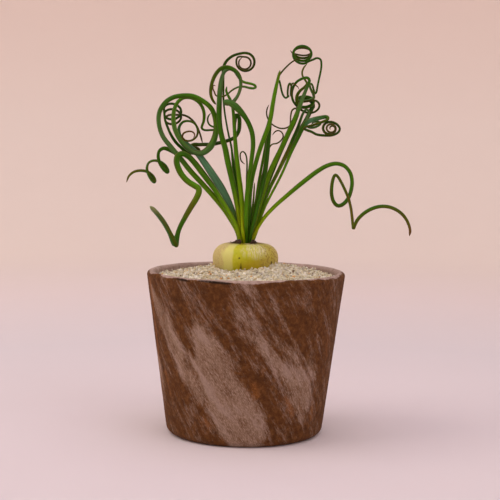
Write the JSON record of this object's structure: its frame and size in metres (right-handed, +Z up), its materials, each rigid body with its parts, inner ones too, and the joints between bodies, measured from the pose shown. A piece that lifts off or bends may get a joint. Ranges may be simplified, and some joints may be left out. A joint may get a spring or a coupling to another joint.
{
  "type": "potted corkscrew albuca",
  "caption": "Bulb with long narrow leaves that curl into rings, coils and corkscrews, in a gravel-topped tapering clay pot that stands on its flat foot.",
  "frame": {"origin": "centre of the pot's flat foot, on the surface that it stands on", "axes": "+Z up along the pot's axis, +X to the right and -Y towards the front as in the picture"},
  "size_m": [0.1694, 0.1194, 0.2354],
  "materials": {
    "clay": "matte",
    "soil": "matte",
    "gravel": "matte",
    "bulb_flesh": "satin",
    "dried_leaf": "matte",
    "leaf_green": "satin",
    "leaf_dark_green": "satin",
    "leaf_blue_green": "satin",
    "leaf_olive": "satin"
  },
  "bodies": {
    "root": {"pot": "clay", "potting_soil": "soil", "gravel_topping": "gravel", "bulb": "bulb_flesh", "leaf_left_ring": "leaf_dark_green", "leaf_left_drooping": "leaf_green", "leaf_left_corkscrew": "leaf_green", "leaf_left_inner_coil": "leaf_green", "leaf_left_wide": "leaf_blue_green", "leaf_centre_crossing": "leaf_dark_green", "leaf_centre_hook": "leaf_dark_green", "leaf_centre_top_coil": "leaf_green", "leaf_centre_stub": "leaf_green", "leaf_centre_ring": "leaf_green", "leaf_centre_thin_loop": "leaf_olive", "leaf_short_tip": "leaf_green", "leaf_right_blade": "leaf_green", "leaf_right_squiggle": "leaf_green", "leaf_right_top": "leaf_green", "leaf_middle_thin_ring": "leaf_olive", "leaf_right_arch": "leaf_dark_green", "leaf_right_inner": "leaf_green", "leaf_middle_loop": "leaf_olive", "leaf_right_tall": "leaf_dark_green", "leaf_right_coils": "leaf_olive", "leaf_right_short": "leaf_olive", "leaf_right_long": "leaf_green", "dried_base_left": "dried_leaf", "dried_base_right": "dried_leaf"}
  },
  "joints": []
}
